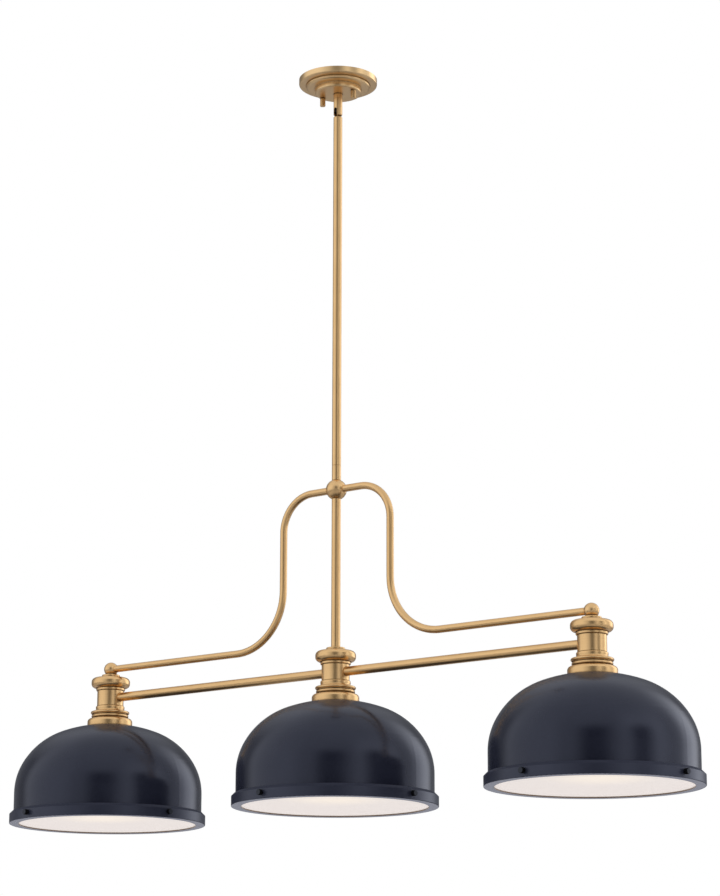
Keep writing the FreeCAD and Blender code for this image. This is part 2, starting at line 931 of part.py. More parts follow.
def column_cap(word, side):
    """Cap with a half-round edge, a boss on top and a locating rim below."""
    base = s.column_rise
    edge = s.cap_edge
    shoulder = s.cap_radius - edge
    band_low = base + edge
    band_high = band_low + s.cap_band
    crown_low = band_high + edge
    crown = crown_low + s.cap_crown
    top = crown + s.boss_height
    rim_inner = s.column_bore - s.spigot_wall
    roof = base + s.cap_hollow
    body = turned(
        "column_cap_" + word,
        [
            (s.column_bore, base - s.spigot_height),
            (s.column_bore, base),
            (shoulder, base),
            Bend(shoulder, band_low, "left"),
            (s.cap_radius, band_low),
            (s.cap_radius, band_high),
            Bend(shoulder, band_high, "left"),
            (shoulder, crown_low),
            (s.boss_radius, crown),
            (s.boss_radius, top - s.boss_round),
            Bend(s.boss_radius - s.boss_round, top - s.boss_round, "left"),
            (s.boss_radius - s.boss_round, top),
            (s.thread_radius, top),
            (s.thread_radius, roof),
            (rim_inner, roof),
            (rim_inner, base - s.spigot_height),
        ],
    )
    keep("column_cap_" + word, move(body, x=s.shade_spacing * side, z=-s.bar_drop))


def column_body(word, side):
    """Tubular column with a ring at each end and a hole for each bar."""
    base, top = -s.column_neck, s.column_rise
    ring_low = top - s.collar_ring_height
    foot_top = base + s.foot_ring_height
    soft = s.ring_round
    name = "column_body_" + word
    body = turned(
        name,
        [
            (s.column_bore, base),
            (s.foot_ring_radius, base),
            (s.foot_ring_radius, foot_top - soft),
            Bend(s.foot_ring_radius - soft, foot_top - soft, "left"),
            (s.foot_ring_radius - soft, foot_top),
            (s.column_radius - s.groove_depth, foot_top),
            (s.column_radius - s.groove_depth, foot_top + s.groove_width),
            (s.column_radius, foot_top + s.groove_width),
            (s.column_radius, ring_low - s.groove_width),
            (s.column_radius - s.groove_depth, ring_low - s.groove_width),
            (s.column_radius - s.groove_depth, ring_low),
            (s.collar_ring_radius - soft, ring_low),
            Bend(s.collar_ring_radius - soft, ring_low + soft, "left"),
            (s.collar_ring_radius, ring_low + soft),
            (s.collar_ring_radius, top - soft),
            Bend(s.collar_ring_radius - soft, top - soft, "left"),
            (s.collar_ring_radius - soft, top),
            (s.column_bore, top),
        ],
    )
    plan = new_sketch(body, name + "_bar_plan", "YZ_Plane")
    circle(plan, 0, 0, s.bar_radius)
    hole = body.newObject("PartDesign::Pocket", name + "_bar_hole")
    hole.Profile = plan
    if side == 0:
        hole.Midplane = True
        bind(hole, "Length", s.column_radius * 4)
    else:
        hole.Reversed = side < 0
        bind(hole, "Length", s.column_radius * 2)
    keep(name, move(body, x=s.shade_spacing * side, z=-s.bar_drop))


def shade_fitter(word, side):
    """Stacked beads over the flange that sits on the shade, with a floor for the nipple."""
    top = -s.column_neck
    cove_low = top - s.fitter_cove
    bead_half = s.bead_height / 2
    bead_low = cove_low - s.bead_height
    bead_middle = s.bead_radius - bead_half
    second_half = s.second_bead_height / 2
    second_low = bead_low - s.groove_width - s.second_bead_height
    second_middle = s.second_bead_radius - second_half
    shoulder_top = second_low - s.groove_width
    flange_top = shoulder_top - s.flange_round
    flange_inner = s.flange_radius - s.flange_round
    base = top - s.fitter_height
    rim_inner = s.column_bore - s.spigot_wall
    cove_lift = s.fitter_cove - s.groove_width
    cove_foot = s.fitter_top_radius + cove_lift
    body = turned(
        "shade_fitter_" + word,
        [
            (rim_inner, top + s.spigot_height),
            (s.column_bore, top + s.spigot_height),
            (s.column_bore, top),
            (s.fitter_top_radius, top),
            (s.fitter_top_radius, top - s.groove_width),
            Bend(cove_foot, top - s.groove_width, "left"),
            (cove_foot, cove_low),
            (bead_middle, cove_low),
            Bend(bead_middle, cove_low - bead_half, "right"),
            (s.bead_radius, cove_low - bead_half),
            Bend(bead_middle, cove_low - bead_half, "right"),
            (bead_middle, bead_low),
            (s.bead_groove_radius - s.groove_width, bead_low),
            (s.bead_groove_radius - s.groove_width, bead_low - s.groove_width),
            (second_middle, bead_low - s.groove_width),
            Bend(second_middle, bead_low - s.groove_width - second_half, "right"),
            (s.second_bead_radius, bead_low - s.groove_width - second_half),
            Bend(second_middle, bead_low - s.groove_width - second_half, "right"),
            (second_middle, second_low),
            (s.bead_groove_radius - s.groove_width, second_low),
            (s.bead_groove_radius - s.groove_width, shoulder_top),
            (flange_inner, shoulder_top),
            Bend(flange_inner, flange_top, "right"),
            (s.flange_radius, flange_top),
            (s.flange_radius, base),
            (s.thread_radius, base),
            (s.thread_radius, base + s.fitter_floor),
            (s.fitter_bore, base + s.fitter_floor),
            (s.fitter_bore, top),
            (rim_inner, top),
        ],
    )
    keep("shade_fitter_" + word, move(body, x=s.shade_spacing * side, z=-s.bar_drop))


# Shades


def shade(word, side):
    """Spun dome: a straight skirt, three tangent arcs and a flat crown under the fitter."""
    wall = s.shade_wall
    shoulder_x = s.shade_radius - s.shoulder_arc
    step_x, step_z = cosine(s.shoulder_angle), sine(s.shoulder_angle)
    rise_x, rise_z = cosine(s.haunch_angle), sine(s.haunch_angle)

    def surface(inset):
        """Corners and bends of the dome's skin, in from its outer face by an inset."""
        first = s.shoulder_arc - inset
        second = s.haunch_arc - inset
        level = shade_top - inset
        flat = across(crown_arc - inset, level - crown_z)
        return [
            (s.shade_radius - inset, s.skirt_lift),
            (s.shade_radius - inset, s.shade_skirt),
            Bend(shoulder_x, s.shade_skirt, "left"),
            (shoulder_x + first * step_x, s.shade_skirt + first * step_z),
            Bend(haunch_x, haunch_z, "left"),
            (haunch_x + second * rise_x, haunch_z + second * rise_z),
            Bend(0, crown_z, "left"),
            (flat, level),
        ]

    outer = surface(as_size(0.0))
    inner = surface(wall)
    back = []
    for item in reversed(inner):
        back.append(Bend(item.x, item.y, "right") if isinstance(item, Bend) else item)
    crown = [(s.thread_radius, shade_top), (s.thread_radius, shade_top - wall)]
    body = turned("shade_" + word, outer + crown + back)
    keep("shade_" + word, move(body, x=s.shade_spacing * side, z=-rim_drop))


def lampholder(word, side):
    """Screw-shell lampholder under the shade's crown, from its top plate down."""
    floor_top = -(s.holder_plate + s.holder_space)
    floor = floor_top - s.holder_floor
    body = turned(
        "lampholder_" + word,
        [
            (s.thread_radius, 0),
            (s.holder_radius - s.holder_taper, 0),
            (s.holder_radius, -s.holder_taper),
            (s.holder_radius, -s.holder_shoulder),
            (s.holder_skirt_radius, -(s.holder_shoulder + s.holder_taper)),
            (s.holder_skirt_radius, -s.holder_height),
            (s.holder_bore, -s.holder_height),
            (s.holder_bore, floor),
            (s.contact_radius, floor),
            (s.contact_radius, floor - s.contact_height),
            (0, floor - s.contact_height),
            (0, floor_top),
            (s.holder_bore, floor_top),
            (s.holder_bore, -s.holder_plate),
            (s.thread_radius, -s.holder_plate),
        ],
    )
    keep("lampholder_" + word, move(body, x=s.shade_spacing * side, z=-holder_top_drop))


def bulb(word, side):
    """Screw-base bulb, from the tip of its base down."""
    shoulder = -s.base_tip_height
    base_end = -s.base_length
    globe_z = base_end - s.bulb_neck_length
    meet = across(s.bulb_radius, s.bulb_neck_radius)
    body = turned(
        "bulb_" + word,
        [
            (0, 0),
            (0, globe_z - s.bulb_radius),
            Bend(0, globe_z, "left"),
            (s.bulb_radius, globe_z),
            Bend(0, globe_z, "left"),
            (s.bulb_neck_radius, globe_z + meet),
            (s.base_radius, base_end),
            (s.base_radius, shoulder),
            (s.base_tip_radius, 0),
        ],
    )
    contact = s.holder_plate + s.holder_space + s.holder_floor + s.contact_height
    drop = holder_top_drop + contact + s.bulb_gap
    keep("bulb_" + word, move(body, x=s.shade_spacing * side, z=-drop))


def screw_turn(word):
    """Heading of a shade's first thumbscrew: each column is screwed up to its own stop."""
    return getattr(s, "screw_turn_" + word)


def lens_ring(word, side):
    """Ring round the shade's foot, with a lip for the lens and a tapped hole for each screw."""
    edge = s.ring_edge_round
    collar = s.shade_radius + s.ring_gap
    shoulder = s.ring_height - s.ring_shoulder
    name = "lens_ring_" + word
    body = turned(
        name,
        [
            (ring_radius - s.ring_lip, 0),
            (ring_radius - edge, 0),
            Bend(ring_radius - edge, edge, "left"),
            (ring_radius, edge),
            (ring_radius, shoulder),
            (collar + s.ring_wall, s.ring_height),
            (collar, s.ring_height),
            (collar, s.ring_height - s.ring_wall),
            (ring_bore, shoulder - s.ring_wall / 2),
            (ring_bore, s.ring_lip_height),
            (ring_radius - s.ring_lip, s.ring_lip_height),
        ],
    )
    plan = new_sketch(body, name + "_screw_plan", "YZ_Plane")
    circle(plan, 0, s.screw_height, s.screw_radius + s.screw_fit)
    hole = body.newObject("PartDesign::Pocket", name + "_screw_hole")
    hole.Profile = plan
    hole.Reversed = True
    bind(hole, "Length", ring_radius * 2)
    doc.recompute()
    holes = body.newObject("PartDesign::PolarPattern", name + "_screw_holes")
    holes.Originals = [hole]
    holes.Axis = (own_datum(body, "Z_Axis"), [""])
    holes.Angle = 360.0
    holes.Occurrences = SCREWS_PER_SHADE
    body.Tip = holes
    keep(name, move(body, x=s.shade_spacing * side, z=-rim_drop, turn=screw_turn(word)))


def lens(word, side):
    """Flat diffuser that lies on the ring's lip."""
    body = turned(
        "lens_" + word,
        [
            (0, s.ring_lip_height),
            (ring_bore - s.lens_gap, s.ring_lip_height),
            (ring_bore - s.lens_gap, s.ring_lip_height + s.lens_thickness),
            (0, s.ring_lip_height + s.lens_thickness),
        ],
    )
    keep("lens_" + word, move(body, x=s.shade_spacing * side, z=-rim_drop))


def thumbscrew(word, side, number):
    """Fluted thumbscrew, drawn along Z with its ring's outer face at nought, then laid radially."""
    tip = s.screw_tip_gap - s.ring_overhang
    neck = s.screw_neck
    end = neck + s.screw_head_length
    soft = s.screw_head_round
    name = f"thumbscrew_{word}_{number}"
    body = turned(
        name,
        [
            (0, tip),
            (s.screw_radius, tip),
            (s.screw_radius, neck),
            (s.screw_head_radius - soft, neck),
            Bend(s.screw_head_radius - soft, neck + soft, "left"),
            (s.screw_head_radius, neck + soft),
            (s.screw_head_radius, end - soft),
            Bend(s.screw_head_radius - soft, end - soft, "left"),
            (s.screw_head_radius - soft, end),
            (0, end),
        ],
    )
    flutes(body, name, s.screw_head_radius, end, False)
    heading = screw_turn(word) + 360.0 / SCREWS_PER_SHADE * (number - 1)
    x = s.shade_spacing * side + ring_radius * cosine(heading)
    y = ring_radius * sine(heading)
    place_radially(body, x, y, s.screw_height - rim_drop, heading)
    keep(name, body)


def place_radially(item, x, y, z, heading):
    """Lay a piece whose own +Z looks outwards along a heading in the level plane."""
    item.Placement = FreeCAD.Placement(
        FreeCAD.Vector(x.value, y.value, z.value),
        FreeCAD.Rotation(heading.value, 90.0, 0.0),
    )
    bind(item, "Placement", Size(0.0, radial_text(x, y, z, heading)))


def radial_text(x, y, z, heading):
    """Text of a placement that tips +Z over to X and then turns it to a heading."""
    place = f"vector({x.text}; {y.text}; {z.text})"
    turn = f"rotation({heading.text}; 90; 0)"
    return f"placement({place}; {turn})"


def lampholder_nipples():
    """Headed nipples that hold fitter, shade and lampholder together."""
    pieces = []
    reach = s.fitter_floor + s.shade_wall + s.nipple_reach
    for word, side in PLACES.items():
        piece = turned(
            "holder_nipple_" + word,
            [
                (s.thread_bore, -reach),
                (s.thread_radius, -reach),
                (s.thread_radius, 0),
                (s.nipple_head_radius, 0),
                (s.nipple_head_radius, s.nipple_head_height),
                (s.thread_bore, s.nipple_head_height),
            ],
        )
        height = s.fitter_floor - column_drop - s.bar_drop
        pieces.append(move(piece, x=s.shade_spacing * side, z=height))
    keep("lampholder_nipples", group("lampholder_nipples", pieces))


def wiring():
    """Leads from the swivel to a splice in the middle column and on to each lampholder."""
    splice_half = s.splice_height / 2
    start = swivel_ball_drop - s.ball_crown
    feed_length = s.bar_drop - splice_half - start
    feed = move(cylinder("feed_lead", s.lead_radius, feed_length), z=-(start + feed_length))
    splice = cylinder("lead_splice", s.splice_radius, s.splice_height)
    move(splice, z=-(s.bar_drop + splice_half))
    finish = column_drop + s.shade_wall + s.holder_plate + s.holder_space / 2
    tail_length = finish - splice_half
    tail = move(cylinder("center_lead", s.lead_radius, tail_length), z=-(s.bar_drop + finish))
    pieces = [feed, splice, tail]
    for word, turn, side in (("left", 180, -1), ("right", 0, 1)):
        body = new_body(word + "_lead")
        path = new_sketch(body, word + "_lead_path", "XZ_Plane")
        length = s.shade_spacing - s.splice_radius
        draw(
            path,
            [
                (0, 0),
                (length - s.lead_bend, 0),
                Bend(length - s.lead_bend, -s.lead_bend, "right"),
                (length, -s.lead_bend),
                (length, -finish),
            ],
            closed=False,
        )
        section = new_sketch(body, word + "_lead_section", "YZ_Plane")
        circle(section, 0, 0, s.lead_radius)
        pipe = body.newObject("PartDesign::AdditivePipe", word + "_lead_pipe")
        pipe.Profile = section
        pipe.Spine = (path, ["Edge1", "Edge2", "Edge3"])
        pipe.Mode = "Frenet"
        pieces.append(move(body, x=s.splice_radius * side, z=-s.bar_drop, turn=turn))
    keep("wiring", group("wiring", pieces))


# Assembly

crossbar()
canopy()
ceiling_fasteners()
swivel()
rods()
hub()
arm("arm_left", 180)
arm("arm_right", 0)
for place_word, place_side in PLACES.items():
    column_cap(place_word, place_side)
    column_body(place_word, place_side)
    shade_fitter(place_word, place_side)
    shade(place_word, place_side)
    lampholder(place_word, place_side)
    bulb(place_word, place_side)
    lens_ring(place_word, place_side)
    lens(place_word, place_side)
    for screw_number in range(1, SCREWS_PER_SHADE + 1):
        thumbscrew(place_word, place_side, screw_number)
for place_word in ("left", "right"):
    end_ball("end_ball_" + place_word, PLACES[place_word])
    bar("bar_" + place_word, PLACES[place_word])
lampholder_nipples()
wiring()
doc.recompute()

for item in doc.Objects:
    if "Invalid" in item.State or "Error" in item.State:
        raise RuntimeError(f"{item.Label} failed: {item.State}")
os.makedirs("parts", exist_ok=True)
for node, item in nodes.items():
    if item.Shape.isNull() or not item.Shape.isValid():
        raise RuntimeError(f"{node} has no valid shape")
for node, item in nodes.items():
    item.Shape.exportStep(f"parts/{node}.step")
print(f"{len(nodes)} sub-parts written")
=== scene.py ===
"""Linear island pendant: its finishes, bulbs and ground screw, with a studio and a camera.

Lengths are in metres in the model's own frame: the origin is the middle of the ceiling plane, +Z is up and
X runs along the bar. Colours are linear.
"""

import logging
import math
from dataclasses import dataclass, field
from enum import Enum
from typing import Sequence, Union

import bpy
from mathutils import Matrix, Vector


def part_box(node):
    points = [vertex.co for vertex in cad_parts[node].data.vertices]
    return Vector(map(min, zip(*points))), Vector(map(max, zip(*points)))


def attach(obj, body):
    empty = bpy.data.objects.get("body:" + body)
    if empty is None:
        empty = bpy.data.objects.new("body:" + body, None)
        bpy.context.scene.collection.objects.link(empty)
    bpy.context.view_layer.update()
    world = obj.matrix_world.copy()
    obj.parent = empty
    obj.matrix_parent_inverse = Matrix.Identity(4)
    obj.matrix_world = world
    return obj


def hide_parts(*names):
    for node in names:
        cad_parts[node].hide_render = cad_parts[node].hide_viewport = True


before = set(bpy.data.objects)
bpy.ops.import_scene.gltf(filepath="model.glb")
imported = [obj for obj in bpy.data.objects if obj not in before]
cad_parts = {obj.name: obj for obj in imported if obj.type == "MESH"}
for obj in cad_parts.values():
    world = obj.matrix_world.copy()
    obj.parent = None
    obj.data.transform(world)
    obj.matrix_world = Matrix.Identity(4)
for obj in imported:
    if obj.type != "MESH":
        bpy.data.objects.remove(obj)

LOG = logging.getLogger("pendant")
MM = 0.001
Triple = tuple[float, float, float]
Profile = list[tuple[float, float]]
Value = Union["Signal", float, Triple, Sequence[float]]
ORIGIN: Triple = (0.0, 0.0, 0.0)
WHITE: Triple = (1.0, 1.0, 1.0)


class Place(Enum):
    """Where a shade hangs along the bar."""

    LEFT = "left"
    CENTER = "center"
    RIGHT = "right"


class Grain(Enum):
    """The way that a brushed surface's lines run, as how often they change in a metre of X, Y and Z."""

    ALONG_X = (9.0, 1500.0, 1500.0)
    ALONG_Z = (1500.0, 1500.0, 9.0)
    ALONG_BEND = (12.0, 1500.0, 12.0)
    TURNED = (12.0, 12.0, 1500.0)


# Shader maths


class Signal:
    """A shader value that adds its own Math nodes when it is used in arithmetic."""

    def __init__(self, bench: "ShaderBench", socket: Union[bpy.types.NodeSocket, None]) -> None:
        """Wrap an output socket.

        Args:
            bench: The bench whose node tree holds the socket.
            socket: The output socket, or None for a node that has no output.
        """
        self.bench = bench
        self.socket = socket

    def math(self, operation: str, other: Value, flipped: bool = False) -> "Signal":
        """Add one Math node.

        Args:
            operation: The node's operation.
            other: The second value.
            flipped: Whether the second value comes first.

        Returns:
            The node's result.
        """
        pair = (other, self) if flipped else (self, other)
        return self.bench.node("ShaderNodeMath", {"operation": operation}, dict(enumerate(pair)))

    def __add__(self, other: Value) -> "Signal":
        """Add."""
        return self.math("ADD", other)

    def __sub__(self, other: Value) -> "Signal":
        """Subtract."""
        return self.math("SUBTRACT", other)

    def __mul__(self, other: Value) -> "Signal":
        """Multiply."""
        return self.math("MULTIPLY", other)

    def __truediv__(self, other: Value) -> "Signal":
        """Divide."""
        return self.math("DIVIDE", other)

    def __pow__(self, other: Value) -> "Signal":
        """Raise to a power."""
        return self.math("POWER", other)

    def __gt__(self, other: Value) -> "Signal":
        """Give 1 where this value is larger."""
        return self.math("GREATER_THAN", other)

    def __lt__(self, other: Value) -> "Signal":
        """Give 1 where this value is smaller."""
        return self.math("LESS_THAN", other)

    def __radd__(self, other: Value) -> "Signal":
        """Add to a number."""
        return self.math("ADD", other, flipped=True)

    def __rsub__(self, other: Value) -> "Signal":
        """Subtract from a number."""
        return self.math("SUBTRACT", other, flipped=True)

    def __rmul__(self, other: Value) -> "Signal":
        """Multiply a number."""
        return self.math("MULTIPLY", other, flipped=True)

    def clamped(self) -> "Signal":
        """Keep the value between 0 and 1."""
        return self.math("MAXIMUM", 0.0).math("MINIMUM", 1.0)

    def size(self) -> "Signal":
        """Give the value without its sign."""
        return self.math("ABSOLUTE", 0.0)

    def swing(self, width: float) -> "Signal":
        """Turn a noise about 0.5 into one about 0, of a width."""
        return (self - 0.5) * width

    def rising(self, start: float, steepness: float) -> "Signal":
        """Give 0 up to a start, and from there a slope up to 1."""
        return ((self - start) * steepness).clamped()

    def falling(self, end: float, steepness: float) -> "Signal":
        """Give a slope from 1 down to 0, which it reaches at an end."""
        return ((end - self) * steepness).clamped()


class ShaderBench:
    """A node tree, with a single way to add a node."""

    def __init__(self, tree: bpy.types.NodeTree) -> None:
        """Empty the tree.

        Args:
            tree: The node tree of a material or a world.
        """
        self.tree = tree
        self.tree.nodes.clear()

    @staticmethod
    def material(name: str) -> tuple["ShaderBench", bpy.types.Material]:
        """Start a material.

        Args:
            name: The material's name.

        Returns:
            The bench of its node tree, and the material.
        """
        made = bpy.data.materials.new(name)
        made.use_nodes = True
        return ShaderBench(made.node_tree), made

    def node(self, kind: str, settings: dict, inputs: dict, output: Union[int, str] = 0) -> Signal:
        """Add a node.

        Args:
            kind: The node's type.
            settings: What is set on the node itself.
            inputs: Values or signals by the name or the number of their socket.
            output: The name or number of the socket that is wanted.

        Returns:
            The wanted output.
        """
        added = self.tree.nodes.new(kind)
        for name, value in settings.items():
            setattr(added, name, value)
        for name, value in inputs.items():
            if isinstance(value, Signal):
                self.tree.links.new(value.socket, added.inputs[name])
            else:
                added.inputs[name].default_value = value
        return Signal(self, added.outputs[output] if added.outputs else None)

    def point(self, centre: Triple) -> Signal:
        """Give the point that is shaded, as a vector from a centre in the model's frame."""
        return self.minus(self.node("ShaderNodeTexCoord", {}, {}, "Object"), centre)

    def facing(self) -> Signal:
        """Give the surface's normal in the piece's own frame, which a turned joint takes along."""
        return self.node("ShaderNodeTexCoord", {}, {}, "Normal")

    def ray(self, kind: str) -> Signal:
        """Give 1 for rays of a kind, such as Is Glossy Ray."""
        return self.node("ShaderNodeLightPath", {}, {}, kind)

    def axis(self, vector: Signal, letter: str) -> Signal:
        """Give one coordinate of a vector."""
        return self.node("ShaderNodeSeparateXYZ", {}, {0: vector}, letter)

    def vector(self, x: Value, y: Value, z: Value) -> Signal:
        """Put three values together."""
        return self.node("ShaderNodeCombineXYZ", {}, {0: x, 1: y, 2: z})

    def minus(self, first: Signal, second: Value) -> Signal:
        """Subtract the second vector from the first."""
        return self.node("ShaderNodeVectorMath", {"operation": "SUBTRACT"}, {0: first, 1: second})

    def dot(self, first: Signal, second: Value) -> Signal:
        """Give the dot product of two vectors."""
        pair = {0: first, 1: second}
        return self.node("ShaderNodeVectorMath", {"operation": "DOT_PRODUCT"}, pair, "Value")

    def radius(self, vector: Signal) -> Signal:
        """Give a vector's distance from the upright axis."""
        x, y = self.axis(vector, "X"), self.axis(vector, "Y")
        return (x * x + y * y) ** 0.5

    def noise(self, vector: Signal, scale: float, detail: float = 3.0, rough: float = 0.55) -> Signal:
        """Add a noise.

        Args:
            vector: Where it is read.
            scale: How often it changes in a metre.
            detail: How many finer layers it has.
            rough: How strong the finer layers are.

        Returns:
            A value about 0.5.
        """
        inputs = {"Vector": vector, "Scale": scale, "Detail": detail, "Roughness": rough}
        return self.node("ShaderNodeTexNoise", {}, inputs, 0)

    def mix(self, factor: Value, first: Value, second: Value) -> Signal:
        """Mix two colours.

        Args:
            factor: The second one's share.
            first: The colour at 0.
            second: The colour at 1.

        Returns:
            The mixed colour.
        """
        pair = [value if isinstance(value, Signal) else (*value, 1.0) for value in (first, second)]
        return self.node("ShaderNodeMix", {"data_type": "RGBA"}, {0: factor, 6: pair[0], 7: pair[1]}, 2)

    def bump(self, height: Signal, depth: float) -> Signal:
        """Turn a height into a normal.

        Args:
            height: The height, 0 to 1.
            depth: What a height of 1 stands for, in metres.

        Returns:
            The normal.
        """
        return self.node("ShaderNodeBump", {}, {"Strength": 1.0, "Distance": depth, "Height": height})

    def finish(self, **inputs: Value) -> None:
        """Close the material with its surface shader.

        Args:
            **inputs: The shader's values by their names, with underscores for spaces.
        """
        named = {name.replace("_", " "): value for name, value in inputs.items()}
        surface = self.node("ShaderNodeBsdfPrincipled", {}, named)
        self.node("ShaderNodeOutputMaterial", {}, {"Surface": surface})


# Finishes


@dataclass(frozen=True)
class BrushedBrass:
    """Warm brass, polished lighter in patches and brushed along its grain, with painted shade darkening its
    hollows towards brown.
    """

    grain: Grain
    centre: Triple = ORIGIN
    light: Triple = (0.98, 0.640, 0.295)
    dark: Triple = (0.70, 0.424, 0.170)
    patina_and_shade: Triple = (0.115, 0.060, 0.026)
    patches_per_metre: float = 26.0
    patch_from: float = 0.3
    patch_contrast: float = 2.2
    patch_share: float = 0.22
    broad_line_scale: float = 0.23
    broad_line_share: float = 0.42
    fine_line_scale: float = 1.0
    fine_line_share: float = 0.36
    level_line_scale: float = 0.7
    least_tone: float = 0.12
    hollow_reach: float = 5.0 * MM
    hollow_openness: float = 0.80
    hollow_steepness: float = 2.4
    hollow_roughness: float = 0.25
    roughness: float = 0.36
    polish: float = 0.08
    line_roughness: float = 0.12
    fine_line_relief: float = 0.6
    broad_line_relief: float = 0.4
    line_depth: float = 0.035 * MM

    def build(self, bench: ShaderBench) -> None:
        """Make the material.

        Args:
            bench: The bench to make it on.
        """
        point = bench.point(self.centre)
        stretched = self.stretched(bench, point)
        fine_lines = bench.noise(stretched, self.fine_line_scale, detail=2.0)
        broad_lines = bench.noise(stretched, self.broad_line_scale)
        patches = bench.noise(point, self.patches_per_metre, rough=0.5)
        patches = patches.rising(self.patch_from, self.patch_contrast)
        tone = patches * self.patch_share + broad_lines * self.broad_line_share
        tone = (tone + fine_lines * self.fine_line_share + self.least_tone).clamped()
        # Painted shade: where ambient occlusion finds a hollow, the brass is darkened towards dark brown,
        # standing for both shade and tarnish.
        reach = {"Distance": self.hollow_reach}
        openness = bench.node("ShaderNodeAmbientOcclusion", {"samples": 8}, reach, "AO")
        shaded_hollow = openness.falling(self.hollow_openness, self.hollow_steepness)
        brass = bench.mix(tone, self.dark, self.light)
        roughness = self.roughness - tone * self.polish + fine_lines.swing(self.line_roughness)
        relief = fine_lines * self.fine_line_relief + broad_lines * self.broad_line_relief
        bench.finish(
            Base_Color=bench.mix(shaded_hollow, brass, self.patina_and_shade),
            Metallic=1.0,
            Roughness=roughness + shaded_hollow * self.hollow_roughness,
            Normal=bench.bump(relief, self.line_depth),
        )

    def stretched(self, bench: ShaderBench, point: Signal) -> Signal:
        """Stretch space along the grain, so that a noise becomes lines.

        Args:
            bench: The bench that the material is made on.
            point: The point that is shaded.

        Returns:
            The point in the stretched space. A turned piece has lines on its level faces too.
        """
        x, y, z = (bench.axis(point, letter) for letter in "XYZ")
        often_x, often_y, often_z = self.grain.value
        height = z * often_z
        if self.grain is Grain.TURNED:
            height = height + bench.radius(point) * (often_z * self.level_line_scale)
        return bench.vector(x * often_x, y * often_y, height)


@dataclass(frozen=True)
class CharcoalPaint:
    """Satin blue-charcoal paint with a faint orange peel. A shade has white enamel inside.

    A ring is told by its opening. Its underside is glossy and painted light grey, a painted reflection, and
    the paint is brown along the opening's edge.
    """

    centre: Triple
    dark: Triple = (0.0098, 0.0110, 0.0195)
    light: Triple = (0.0165, 0.0180, 0.0295)
    enamel: Triple = (0.78, 0.76, 0.72)
    edge_brown: Triple = (0.16, 0.105, 0.06)
    painted_underside_reflection: Triple = (0.185, 0.182, 0.228)
    opening: float = 0.0
    edge: float = 1.4 * MM
    edge_brown_sharpness: float = 2.0
    clouds_per_metre: float = 11.0
    cloud_from: float = 0.35
    cloud_contrast: float = 2.2
    mottle_per_metre: float = 260.0
    mottle_contrast: float = 0.5
    peel_per_metre: float = 620.0
    peel_depth: float = 0.009 * MM
    roughness: float = 0.19
    cloud_roughness: float = 0.06
    mottle_roughness: float = 0.04
    crown_from: float = 0.80
    crown_steepness: float = 5.0
    crown_roughness: float = 0.25
    ring_roughness: float = 0.12
    ring_top_steepness: float = 2.0
    ring_top_roughness: float = 0.45
    ring_underside: float = -0.8
    reflection_tint: Triple = (0.80, 0.84, 1.0)
    coat_roughness: float = 0.14

    def build(self, bench: ShaderBench) -> None:
        """Make the material.

        Args:
            bench: The bench to make it on.
        """
        point = bench.point(self.centre)
        clouds = bench.noise(point, self.clouds_per_metre, detail=4.0, rough=0.5)
        mottle = bench.noise(point, self.mottle_per_metre, rough=0.6)
        peel = bench.noise(point, self.peel_per_metre, detail=2.0, rough=0.5)
        clouds = (clouds - self.cloud_from) * self.cloud_contrast
        tone = (clouds + mottle.swing(self.mottle_contrast)).clamped()
        paint = bench.mix(tone, self.dark, self.light)
        roughness = self.roughness + tone * self.cloud_roughness + mottle.swing(self.mottle_roughness)
        normal = bench.facing()
        upright = bench.axis(normal, "Z")
        gloss_and_painted_reflection: Value = 0.0
        if self.opening:
            top = (upright * self.ring_top_steepness).clamped()
            roughness = roughness + top * self.ring_top_roughness + self.ring_roughness
            # Painted reflection: the ring's underside is painted light grey, under a real gloss coat.
            gloss_and_painted_reflection = upright < self.ring_underside
            # The paint turns brown along the opening's edge.
            beyond = bench.radius(point) - (self.opening + self.edge)
            edge_brown = (beyond * (-self.edge_brown_sharpness / self.edge)).clamped()
            paint = bench.mix(edge_brown, bench.mix(gloss_and_painted_reflection, paint, self.painted_underside_reflection), self.edge_brown)
        else:
            crown = upright.rising(self.crown_from, self.crown_steepness)
            roughness = roughness + crown * self.crown_roughness
            paint = bench.mix(bench.dot(normal, point) < 0.0, paint, self.enamel)
        bench.finish(
            Base_Color=paint,
            Roughness=roughness,
            Specular_IOR_Level=0.5,
            Specular_Tint=(*self.reflection_tint, 1.0),
            Coat_Weight=gloss_and_painted_reflection,
            Coat_Roughness=self.coat_roughness,
            Normal=bench.bump(peel, self.peel_depth),
        )


